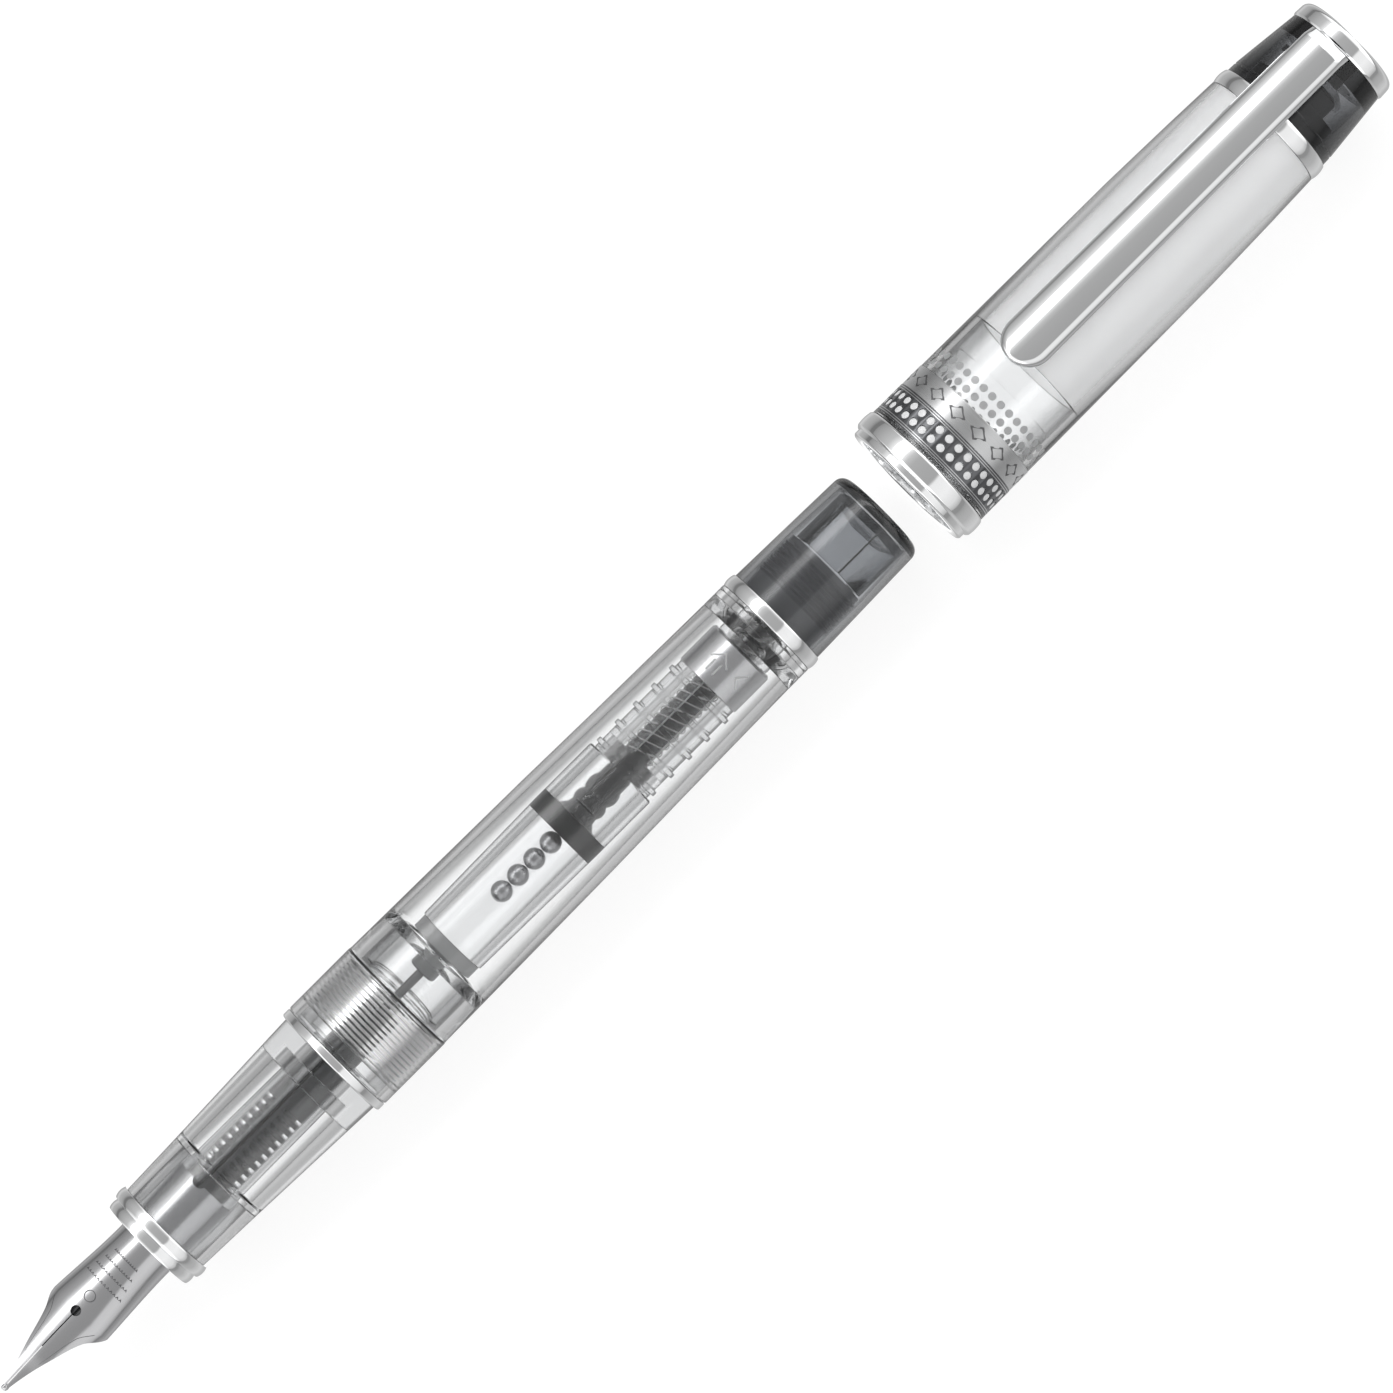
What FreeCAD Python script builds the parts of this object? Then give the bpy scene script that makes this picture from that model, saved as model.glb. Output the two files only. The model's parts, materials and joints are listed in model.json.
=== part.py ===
"""Clear fountain pen with its cap off, lying on a surface.

The pen lies along X: the nib points to -X, and the cap lies behind the tail, on the same
axis, with its mouth towards the tail. +Z is up and carries the nib's top and the clip.
Every piece is turned about the pen's axis at z = 0, and is lifted by AXIS_HEIGHT when it
is written, so that z = 0 becomes the surface that the widest ring lies on.
Lengths are millimetres.
"""
import FreeCAD, Part
import math
import os

V = FreeCAD.Vector
AXIS = V(1, 0, 0)

# Stations along the axis, from the nib's point to the end of the cap.
NIB_TIP = -82.53
NIB_SHOULDER = -73.10
NIB_TAIL = -57.70
FRONT_BEAD = (-64.88, -63.84)
FRONT_RING = (-63.84, -62.63)
SECTION = (-62.63, -42.65)
COLLAR_END = -56.57
PARTITION = -45.76
FEED_STEP = -44.29
REAR_RING = (-42.65, -41.78)
BARREL = (-41.78, 8.22)
THREAD = (-39.97, -34.52)
NIPPLE_FLOOR = -41.40
FEED_END = -36.76
BORE_STEP = -30.54
NIPPLE_END = -29.58
NOZZLE_START = -32.01
MOUTH_BAND = (-29.30, -27.94)
BALL_CENTRES = (-21.72, -19.74, -17.76, -15.78)
PISTON_SEAL = (-14.79, -12.80)
PISTON_ROD_END = -7.96
GUIDE_BUSH = (-7.18, -5.36)
METAL_SLEEVE = (3.29, 7.53)
KNOB_END = 13.41
SPINDLE_END = 10.99
TAIL_CONE = (8.22, 9.52)
TAIL_WINDOW = (9.52, 10.21)
TAIL_BAND = (10.21, 10.64)
TAIL_RING = (10.64, 11.94)
TAIL_CAP = (11.94, 24.83)
PLUG_FLOOR = 17.20
TAIL_PLUG_END = 17.99
TAIL_CAP_FLOOR = 23.79
CAP_LIP = (27.85, 28.55)
CAP_BEAD = (28.55, 30.45)
CAP_SHELL = (30.45, 71.63)
PATTERN_BAND = (30.88, 33.91)
PLAIN_BAND = (33.91, 36.25)
SLEEVE_END = 42.65
CAP_RING = (71.63, 73.18)
CAP_TOP = (73.18, 80.71)
FINIAL = (80.71, 82.53)
CLIP_NOSE = 41.40
CLIP_ROOT = (79.85, 80.50)

# Radii.
WIDEST = 6.86
AXIS_HEIGHT = WIDEST
SECTION_BORE = 3.90
COMB_BORE = 3.76
COMB = 2.10
HOUSING = (2.95, 2.80, 2.72)
HOUSING_TAIL = 2.62
FRONT_RADII = (4.78, 5.09)
REAR_RADIUS = 5.84
NIB_OPENING = 3.30
GRIP = (4.67, 4.87, 5.28, 5.39)
FEED_TAIL_BORE = 1.93
NIPPLE = 4.45
NIPPLE_BORE = 3.63
BARREL_FRONT = 5.85
BARREL_REAR = 5.20
TAIL_RING_RADIUS = 5.30
TAIL_CAP_RADII = (5.04, 4.76)
PLUG_NECK = 4.40
PLUG_ROOT = 4.05
BARREL_BORE = (4.50, 5.15, 4.15)
THREAD_TIP = 5.08
THREAD_ROOT = 4.86
THREAD_CLEAR = 5.15
NOZZLE = 1.35
MOUTH = 3.30
INK_TUBE = (3.45, 3.66)
INK_BORE = 2.47
BUSH = 2.17
GUIDE_TUBE = 3.20
RIB = 3.48
SLEEVE = 3.35
SLEEVE_SEAT = 2.90
SLEEVE_MOUTH = 2.40
KNOB = (2.85, 2.55)
SPINDLE = 1.34
GUIDE_BORE = 1.80
BALL = 0.98
SLEEVE_BORE = 5.45
INNER_SLEEVE = 5.80
LINER_BORE = 5.15
LINER = 5.50
BAND_SEAT = 6.42
BAND = 6.60
CAP_RING_RADIUS = 6.14
CLIP_CROWN = 4.60
CLIP_HALF_WIDTH = 2.42
TAIL_BORE = 3.42
PLUG_FLANGE = 4.90

THREAD_PITCH = 0.45
RUNNING_GAP = 0.03
COMB_FINS = 12
COMB_PITCH = 0.822
FIRST_GAP = -56.44
COMB_GAP = 0.36
COMB_CORE = 1.47
GUIDE_RIBS = 5
FIRST_RIB = -6.50
RIB_PITCH = 2.185
GROOVE_PITCH = 1.90
DOTS_PER_ROW = 36
DOT = 0.40
DOT_ROWS = (31.93, 33.01)
SLIT_WIDTH = 0.08
TIPPING = 0.36
TIPPING_HEIGHT = 0.26
BREATHER_HOLE = 0.48
TAIL_NOTCH = 0.62
NIB_SHEET = 0.28

# Stations of the nib: x, half width of the ellipse, rise, base, reach round from the top.
NIB_STATIONS = (
    (-82.30, 1.60, 0.92, -0.42, 11.0),
    (-79.80, 2.20, 1.35, -0.42, 21.3),
    (-77.85, 2.60, 1.77, -0.43, 31.3),
    (-74.83, 3.10, 2.16, -0.45, 48.0),
    (-73.10, 3.33, 2.32, -0.45, 88.0),
    (-65.30, 2.95, 2.78, -0.33, 90.0),
    (NIB_TAIL, 3.03, 3.03, 0.00, 88.0),
)

# Stations of the feed's nose: x, half width, height of its top, height of its bottom.
NOSE_STATIONS = (
    (-77.40, 0.55, 0.90, 0.18),
    (-75.20, 1.35, 1.20, -0.75),
    (-73.00, 2.00, 1.38, -1.45),
    (-69.00, 2.30, 1.62, -2.05),
    (-65.30, 2.35, 1.90, -2.30),
    (-62.63, 2.35, 2.20, -2.35),
)


def turned(outline):
    """Solid of revolution about the pen's axis.

    outline lists (x, radius) corners in order; ("arc", through, end) adds a round stretch.
    """
    def corner(point):
        return V(point[0], 0, point[1])

    here = corner(outline[0])
    edges = []
    for step in list(outline[1:]) + [outline[0]]:
        if step[0] == "arc":
            end = corner(step[2])
            edges.append(Part.Arc(here, corner(step[1]), end).toShape())
        else:
            end = corner(step)
            if (end - here).Length < 1e-7:
                continue
            edges.append(Part.LineSegment(here, end).toShape())
        here = end
    face = Part.Face(Part.Wire(edges))
    return face.revolve(V(0, 0, 0), AXIS, 360)


def sleeve(ends, outer, inner):
    """Plain ring or tube between two stations."""
    return turned([(ends[0], inner), (ends[0], outer), (ends[1], outer), (ends[1], inner)])


def block(low, high):
    """Box between two corners."""
    size = [b - a for a, b in zip(low, high)]
    return Part.makeBox(*size, V(*low))


def beaded(ends, outer, inner, bulge):
    """Ring with a convex outside: its radius is outer in the middle and less at the ends."""
    middle = (ends[0] + ends[1]) / 2
    edge = outer - bulge
    return turned([(ends[0], inner), (ends[0], edge),
                   ("arc", (middle, outer), (ends[1], edge)), (ends[1], inner)])


def thread_outline(ends, root, tip, pitch):
    """Corners of ring-shaped ridges from one station to the other, low at both ends."""
    turns = int((ends[1] - ends[0]) / pitch)
    corners = []
    for turn in range(turns):
        start = ends[0] + turn * pitch
        corners += [(start, root), (start + 0.40 * pitch, tip), (start + 0.60 * pitch, tip)]
    corners.append((ends[0] + turns * pitch, root))
    return corners


# ---------------------------------------------------------------- nib unit and section

def nib_section(x, half_width, rise, base, reach, inset):
    """Cross-section of the nib's sheet at one station, as a closed wire of two arcs.

    half_width and rise are the ellipse's half axes, base is the height of its centre, and
    reach is how far round from the top the sheet goes, in degrees.
    """
    def arc(a, b, direction):
        points = []
        for i in range(9):
            angle = math.radians(direction * reach * (2 * i / 8 - 1))
            points.append(V(x, a * math.sin(angle), base + b * math.cos(angle)))
        curve = Part.BSplineCurve()
        curve.interpolate(points)
        return curve.toShape(), points[0], points[-1]

    outer, start, end = arc(half_width, rise, 1)
    inner, back_start, back_end = arc(half_width - inset, rise - inset, -1)
    sides = [Part.LineSegment(end, back_start).toShape(), Part.LineSegment(back_end, start).toShape()]
    return Part.Wire([outer, sides[0], inner, sides[1]])


def slit_cutter():
    """Narrow gap from the point to the breather hole, and the hole itself."""
    gap = block((NIB_TIP - 1, -SLIT_WIDTH / 2, -2), (NIB_SHOULDER, SLIT_WIDTH / 2, 4))
    hole = Part.makeCylinder(BREATHER_HOLE, 4, V(NIB_SHOULDER, 0, 0.5), V(0, 0, 1))
    return gap.fuse(hole)


def make_nib():
    wires = [nib_section(*station, NIB_SHEET) for station in NIB_STATIONS[:5]]
    tines = Part.makeLoft(wires, True, True)
    wires = [nib_section(*station, NIB_SHEET) for station in NIB_STATIONS[4:]]
    body = Part.makeLoft(wires, True, True)
    notch = Part.makeCylinder(TAIL_NOTCH, 6, V(NIB_TAIL - 0.25, 0, 0.5), V(0, 0, 1))
    return tines.fuse(body).removeSplitter().cut(slit_cutter()).cut(notch)


def make_tipping(nib):
    ball = Part.makeSphere(TIPPING, V(NIB_TIP + TIPPING, 0, TIPPING_HEIGHT))
    return ball.cut(nib).cut(slit_cutter())


def feed_nose():
    """Part of the feed under the nib: round below, and close under the sheet above."""
    wires = []
    for x, half, top, bottom in NOSE_STATIONS:
        side = (top + bottom) * 0.30
        upper = Part.Arc(V(x, -half, side), V(x, 0, top), V(x, half, side)).toShape()
        lower = Part.Arc(V(x, half, side), V(x, 0, bottom), V(x, -half, side)).toShape()
        wires.append(Part.Wire([upper, lower]))
    return Part.makeLoft(wires, True, False)


def make_feed(nib):
    """Feed: nose, comb with its fins and ink channel, and the tail that meets the ink."""
    nose = feed_nose().cut(nib)
    stem = turned([
        (-62.63, 0), (-62.63, 2.20), (NIB_TAIL, 2.70), (NIB_TAIL, COMB), (FEED_STEP, COMB),
        (FEED_STEP, 1.90), (FEED_END + 0.4, 1.86), (FEED_END, 1.50), (FEED_END, 0),
    ])
    feed = nose.fuse(stem)
    spine = block((NIB_TAIL, -0.50, 0), (PARTITION, 0.50, 4))
    for i in range(COMB_FINS - 1):
        middle = FIRST_GAP + i * COMB_PITCH
        gap = sleeve((middle - COMB_GAP / 2, middle + COMB_GAP / 2), 4.0, COMB_CORE)
        feed = feed.cut(gap.cut(spine))
    channel = block((NIB_SHOULDER - 1, -0.11, 0.9), (FEED_END + 1, 0.11, 3.2))
    return feed.cut(channel)


def make_comb_housing():
    """Clear grey sleeve round the comb, flanged where the nib's tail meets it."""
    bore = COMB + 0.02
    flange, front, back = HOUSING
    return turned([
        (NIB_TAIL, bore), (NIB_TAIL, flange), (-56.60, flange), (-56.40, front),
        (PARTITION, back), (PARTITION, HOUSING_TAIL), (FEED_STEP, HOUSING_TAIL), (FEED_STEP, bore),
    ])


def make_section_shell():
    """Grip: clear outside, stepped bore for the nib unit, and the threaded nipple behind."""
    front, waist, rear, end = GRIP
    outside = [
        (SECTION[0], SECTION_BORE), (SECTION[0], front),
        (-56.40, waist), (PARTITION, rear), (SECTION[1], end),
        (SECTION[1], THREAD_ROOT), (THREAD[0], THREAD_ROOT),
    ]
    ridges = thread_outline(THREAD, THREAD_ROOT, THREAD_TIP, THREAD_PITCH)[1:]
    behind = [
        (THREAD[1] + 0.02, NIPPLE), (NIPPLE_END - 0.3, NIPPLE), (NIPPLE_END, NIPPLE - 0.3),
        (NIPPLE_END, NIPPLE_BORE), (NIPPLE_FLOOR, NIPPLE_BORE), (NIPPLE_FLOOR, FEED_TAIL_BORE),
        (FEED_STEP, FEED_TAIL_BORE), (FEED_STEP, HOUSING_TAIL + RUNNING_GAP),
        (PARTITION, HOUSING_TAIL + RUNNING_GAP), (PARTITION, COMB_BORE),
        (-55.80, COMB_BORE), (-56.10, 3.56), (COLLAR_END, 3.56), (COLLAR_END, SECTION_BORE),
    ]
    return turned(outside + ridges + behind)


def make_nib_collar():
    """Clear bush that holds the nib and the feed in the section's mouth."""
    return sleeve((SECTION[0], COLLAR_END), SECTION_BORE, 3.10)


def make_front_trim_ring():
    bead = beaded(FRONT_BEAD, FRONT_RADII[0], NIB_OPENING, 0.10)
    ring = beaded(FRONT_RING, FRONT_RADII[1], NIB_OPENING, 0.14)
    return bead.fuse(ring)


def make_rear_trim_ring():
    chamfer = 0.12
    low, high = REAR_RADIUS - chamfer, REAR_RADIUS
    return turned([
        (REAR_RING[0], THREAD_ROOT), (REAR_RING[0], low), (REAR_RING[0] + chamfer, high),
        (REAR_RING[1] - chamfer, high), (REAR_RING[1], low), (REAR_RING[1], THREAD_ROOT),
    ])


def make_ink_pipe():
    """Thin pipe that carries ink from the converter's nozzle into the feed's tail."""
    return sleeve((FEED_END, -31.40), 0.42, 0.16)


# ---------------------------------------------------------------- barrel and tail

def make_barrel_tube():
    """Clear barrel, drafted inside and out, with a relieved mouth over the thread."""
    small, large, rear = BARREL_BORE
    return turned([
        (BARREL[0] + 0.03, THREAD_CLEAR), (BARREL[0] + 0.03, BARREL_FRONT - 0.06),
        (BARREL[0] + 0.12, BARREL_FRONT), (THREAD[1], BARREL_FRONT),
        (THREAD[1] + 0.10, BARREL_FRONT - 0.05),
        (-13.80, 5.56), (-5.20, 5.39), (BARREL[1], BARREL_REAR),
        (BARREL[1], rear), (BORE_STEP + 1.13, large), (BORE_STEP, small),
        (THREAD[1] + 0.12, small), (THREAD[1] + 0.05, THREAD_CLEAR),
    ])


def make_tail_cone():
    """Clear ring that closes the barrel's bore down towards the tail."""
    rear = BARREL_BORE[2]
    return turned([(TAIL_CONE[0], rear), (TAIL_CONE[0], BARREL_REAR), (TAIL_CONE[1], BARREL_REAR),
                   (TAIL_CONE[1], TAIL_BORE)])


def make_tail_plug():
    """Threaded plug that joins the barrel to the tail cap, hollow for the converter's knob."""
    threaded = (13.84, TAIL_PLUG_END - 0.20)
    ridges = thread_outline(threaded, PLUG_ROOT, PLUG_ROOT + 0.20, THREAD_PITCH)
    neck = [(TAIL_RING[0], TAIL_BORE), (TAIL_RING[0], PLUG_NECK),
            (TAIL_CAP[0], PLUG_NECK), (TAIL_CAP[0], PLUG_ROOT)]
    hollow = [(TAIL_PLUG_END, PLUG_ROOT), (TAIL_PLUG_END, 0), (PLUG_FLOOR, 0), (PLUG_FLOOR, TAIL_BORE)]
    return turned(neck + ridges + hollow)


def make_tail_cap():
    """Smoky end of the barrel, drafted, with a rounded end and a blind bore."""
    end = TAIL_CAP[1]
    front, rear = TAIL_CAP_RADII
    corner = 1.05
    turn = corner * (1 - math.sqrt(0.5))
    return turned([
        (TAIL_CAP[0], 4.32), (TAIL_CAP[0], front), (end - corner, rear),
        ("arc", (end - turn, rear - turn), (end, rear - corner)), (end, 0),
        (TAIL_CAP_FLOOR, 0), (TAIL_CAP_FLOOR, 4.05), (18.05, 4.32),
    ])


def make_tail_insert():
    """Faceted smoky cup inside the tail cap, open towards the nib."""
    prisms = []
    for radius, start, end in ((3.90, 18.20, 23.70), (3.35, 18.20, 22.90)):
        corners = [V(start, radius * math.cos(math.radians(60 * i)),
                     radius * math.sin(math.radians(60 * i))) for i in range(6)]
        hexagon = Part.Face(Part.makePolygon(corners + [corners[0]]))
        prisms.append(hexagon.extrude(V(end - start, 0, 0)))
    return prisms[0].cut(prisms[1])


# ---------------------------------------------------------------- converter

def make_converter_mouth():
    """Nozzle that reaches into the nipple, its flare, and the band on the ink tube."""
    start, shoulder, end = NOZZLE_START, MOUTH_BAND[0], MOUTH_BAND[1]
    return turned([
        (start, 0.50), (start, NOZZLE - 0.15), (start + 0.15, NOZZLE), (shoulder - 0.45, NOZZLE),
        (shoulder, 2.10), (shoulder, MOUTH), (end, MOUTH), (end, 2.30), (shoulder + 0.50, 2.30),
        (shoulder + 0.20, 1.00), (start + 0.51, 1.00), (start + 0.51, 0.50),
    ])


def make_ink_tube():
    """Clear tube that holds the ink, drafted outside, with a chamfered rear end."""
    start, end = MOUTH_BAND[1], GUIDE_BUSH[0]
    front, rear = INK_TUBE
    return turned([
        (start, INK_BORE), (start, front), (-14.0, rear), (end - 0.15, rear), (end, rear - 0.15),
        (end, INK_BORE),
    ])


def make_guide_tube():
    """Clear tube round the spindle, with ring ribs outside."""
    start, end = GUIDE_BUSH[0], METAL_SLEEVE[1] - 0.6
    corners = [(start, BUSH), (start, GUIDE_TUBE)]
    for i in range(GUIDE_RIBS):
        rib = FIRST_RIB + i * RIB_PITCH
        corners += [(rib - 0.28, GUIDE_TUBE), (rib - 0.22, RIB), (rib + 0.22, RIB), (rib + 0.28, GUIDE_TUBE)]
    return turned(corners + [
        (METAL_SLEEVE[0], GUIDE_TUBE), (METAL_SLEEVE[0], SLEEVE_SEAT), (end, SLEEVE_SEAT),
        (end, GUIDE_BORE), (GUIDE_BUSH[1], GUIDE_BORE), (GUIDE_BUSH[1], BUSH),
    ])


def make_guide_bush():
    """Dark bush behind the ink, which keeps the spindle straight."""
    return sleeve(GUIDE_BUSH, BUSH, SPINDLE + RUNNING_GAP)


def make_metal_sleeve():
    """Thin metal sleeve over the guide tube's end, turned in where the knob's journal sits."""
    start, end = METAL_SLEEVE
    lip = end - 0.55
    return turned([
        (start, SLEEVE_SEAT), (start, SLEEVE - 0.07), (start + 0.07, SLEEVE), (end - 0.25, SLEEVE),
        (end, SLEEVE - 0.20), (end, SLEEVE_MOUTH), (lip, SLEEVE_MOUTH), (lip, SLEEVE_SEAT),
    ])


def make_knob():
    """Clear twist knob: a journal in the metal sleeve, a grip and a neck, hollow inside."""
    journal = (METAL_SLEEVE[1] - 0.52, METAL_SLEEVE[1] + 0.04)
    bore, floor = SPINDLE + 0.10, KNOB_END - 0.81
    grip, neck = KNOB
    return turned([
        (journal[0], bore), (journal[0], SLEEVE_MOUTH - 0.04), (journal[1], SLEEVE_MOUTH - 0.04),
        (journal[1], grip), (9.15, grip), (9.45, neck), (KNOB_END - 0.3, neck - 0.05),
        (KNOB_END, neck - 0.35), (KNOB_END, 0), (floor, 0), (floor, bore),
    ])


def make_piston_seal():
    """Black seal with two lips that wipe the ink tube."""
    start, end = PISTON_SEAL
    lip = INK_BORE - RUNNING_GAP
    return turned([
        (start, 0), (start, lip - 0.15), (start + 0.15, lip), (start + 0.55, lip),
        (start + 0.70, lip - 0.22), (end - 0.70, lip - 0.22), (end - 0.55, lip),
        (end, lip), (end, 0),
    ])


def make_piston_rod():
    """Conical foot behind the seal, with two waists."""
    start, end = PISTON_SEAL[1], PISTON_ROD_END
    return turned([
        (start, 0), (start, 2.05), (start + 0.60, 1.50), (start + 1.10, 1.40),
        ("arc", (start + 1.75, 1.62), (start + 2.40, 1.32)),
        ("arc", (start + 3.25, 1.62), (start + 4.10, 1.34)), (end, 1.34), (end, 0),
    ])


def make_spindle():
    """Spindle that the knob drives, with ring grooves where its spiral runs."""
    corners = [(PISTON_ROD_END, 0), (PISTON_ROD_END, SPINDLE)]
    root = SPINDLE - 0.16
    groove = PISTON_ROD_END + 3.96
    while groove < SPINDLE_END - 1.2:
        corners += [(groove, SPINDLE), (groove + 0.10, root), (groove + 0.25, root), (groove + 0.35, SPINDLE)]
        groove += GROOVE_PITCH
    corners += [(SPINDLE_END - 0.3, SPINDLE), (SPINDLE_END, SPINDLE - 0.3), (SPINDLE_END, 0)]
    return turned(corners)


def make_ball(centre):
    return Part.makeSphere(BALL, V(centre, 0, 0))


# ---------------------------------------------------------------- cap

def make_cap_mouth_ring():
    lip, bead = CAP_LIP, CAP_BEAD
    return turned([
        (lip[0], SLEEVE_BORE + 0.12), (lip[0], 6.28), (lip[0] + 0.16, 6.44), (lip[1], 6.44),
        (bead[0], 6.60), (bead[0] + 0.22, 6.80), ("arc", (29.55, WIDEST), (bead[1] - 0.2, 6.78)),
        (bead[1], 6.62), (bead[1], SLEEVE_BORE), (lip[0] + 0.12, SLEEVE_BORE),
    ])


def make_cap_shell():
    """Clear shell of the cap, with a shallow seat for the bands behind the mouth ring."""
    return turned([
        (CAP_SHELL[0], INNER_SLEEVE), (CAP_SHELL[0], 6.62), (PATTERN_BAND[0], 6.62),
        (PATTERN_BAND[0], BAND_SEAT), (PLAIN_BAND[1], BAND_SEAT), (PLAIN_BAND[1], 6.54),
        (58.80, 6.40), (66.00, 6.22), (CAP_SHELL[1], 6.03), (CAP_SHELL[1], LINER),
        (SLEEVE_END, LINER), (SLEEVE_END, INNER_SLEEVE),
    ])


def make_pattern_band():
    """Dark band with two rows of round windows, on the cap's outside."""
    band = sleeve(PATTERN_BAND, BAND, BAND_SEAT)
    for station in DOT_ROWS:
        for i in range(DOTS_PER_ROW):
            angle = 360 * i / DOTS_PER_ROW
            drill = Part.makeCylinder(DOT, 1.0, V(station, 0, BAND - 0.4), V(0, 0, 1))
            drill.rotate(V(0, 0, 0), AXIS, angle)
            band = band.cut(drill)
    return band


def make_plain_band():
    return sleeve(PLAIN_BAND, BAND - 0.025, BAND_SEAT)


def make_cap_inner_sleeve():
    """Clear ring inside the mouth that snaps over the section or the tail."""
    return turned([
        (CAP_SHELL[0], SLEEVE_BORE), (CAP_SHELL[0], INNER_SLEEVE), (SLEEVE_END, INNER_SLEEVE),
        (SLEEVE_END, SLEEVE_BORE), (39.70, SLEEVE_BORE), (39.55, SLEEVE_BORE - 0.05),
        (39.40, SLEEVE_BORE),
    ])


def make_cap_liner():
    """Frosted inner cap that seals the nib's space, closed at its far end."""
    start, end = SLEEVE_END, CAP_SHELL[1]
    return turned([
        (start, LINER_BORE), (start, LINER), (end, LINER), (end, 0), (end - 0.70, 0),
        (end - 0.70, 4.80), (end - 1.05, LINER_BORE),
    ])


def make_cap_upper_ring():
    return beaded(CAP_RING, CAP_RING_RADIUS, PLUG_FLANGE, 0.14)


def clip_slot():
    """Slot through the cap's top that the clip's foot goes down into."""
    return block((CLIP_ROOT[0] - 0.20, -2.10, 2.60), (CAP_TOP[1], 2.10, 7.0))


def make_cap_top():
    """Smoky end of the cap: a drafted shell with a joint groove near the ring."""
    shell = turned([
        (CAP_TOP[0], 4.60), (CAP_TOP[0], 5.86), (74.05, 5.84), (74.12, 5.76), (74.22, 5.76),
        (74.29, 5.83), (CAP_TOP[1], 5.16), (CAP_TOP[1], 3.20), (79.0, 3.20), (79.0, 4.60),
    ])
    return shell.cut(clip_slot())


def make_cap_plug():
    """Dark core inside the cap's top that ties the ring, the top and the finial together."""
    return turned([
        (CAP_RING[0], 0), (CAP_RING[0], PLUG_FLANGE), (CAP_RING[1], PLUG_FLANGE),
        (CAP_TOP[0], 4.40), (75.60, 4.40), (75.60, 3.00), (77.40, 3.00),
        (77.40, 2.10), (CAP_TOP[1], 2.10), (CAP_TOP[1], 0),
    ])


def make_clip_bracket():
    """Bracket on the core that the clip's foot hooks behind."""
    plate = sleeve((77.45, 78.10), 4.40, 2.15)
    arm = block((78.10, -1.60, 2.30), (79.60, 1.60, 2.75))
    ends = block((77.45, -3.0, -5.0), (78.10, 3.0, 5.0))
    return plate.common(ends).fuse(arm)


def make_finial_ring():
    start, end = FINIAL
    return turned([
        (start, 2.10), (start, 5.14), (start + 0.25, 5.28), (end - 0.75, 5.24),
        ("arc", (end - 0.22, 5.02), (end, 4.49)), (end, 3.90), (end - 0.35, 3.90),
        (end - 0.35, 2.10),
    ])


def make_finial_disc():
    """Smoky button that fills the middle of the finial ring."""
    start, end = FINIAL
    return turned([
        (start, 0), (start, 2.10), (end - 0.35, 2.10), (end - 0.35, 3.90), (end, 3.90), (end, 0),
    ])


def make_clip():
    """Clip: a crowned strip with turned-down sides, a round nose and a foot at the root."""
    half, nose = CLIP_HALF_WIDTH, CLIP_NOSE
    foot, root = CLIP_ROOT
    top_nose, top_root = 7.95, 7.05

    def plan(inset, low, high):
        """Upright prism of the clip's outline from above, drawn in by inset."""
        wide = half - inset
        far_wide = wide - 0.22
        mid = nose + half
        points = [V(mid, -wide, low), V(root, -far_wide, low), V(root, far_wide, low), V(mid, wide, low)]
        edges = [Part.LineSegment(a, b).toShape() for a, b in zip(points, points[1:])]
        edges.append(Part.Arc(points[3], V(nose + inset, 0, low), points[0]).toShape())
        return Part.Face(Part.Wire(edges)).extrude(V(0, 0, high - low))

    def crown(lowered):
        """Bar whose rounded top the clip's top follows, falling from the nose to the root."""
        drop = CLIP_CROWN + lowered
        start = V(nose - 4, 0, top_nose - drop)
        end = V(root + 4, 0, top_root - drop)
        return Part.makeCylinder(CLIP_CROWN, (end - start).Length, start, end - start)

    outside = plan(0, 5.2, 9).common(crown(0))
    under_edge = Part.Face(Part.makePolygon([
        V(nose - 1, -4, 6.62), V(root - 3.5, -4, 6.05), V(foot, -4, 5.55),
        V(foot, -4, 3), V(nose - 1, -4, 3), V(nose - 1, -4, 6.62),
    ])).extrude(V(0, 8, 0))
    hollow = plan(0.50, 5.0, 9).common(crown(0.50))
    hollow = hollow.common(block((nose, -4, 3), (foot, 4, 9)))
    tab = block((foot, -1.90, 3.10), (root, 1.90, 5.60))
    return outside.cut(under_edge).cut(hollow).fuse(tab).removeSplitter()


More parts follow.
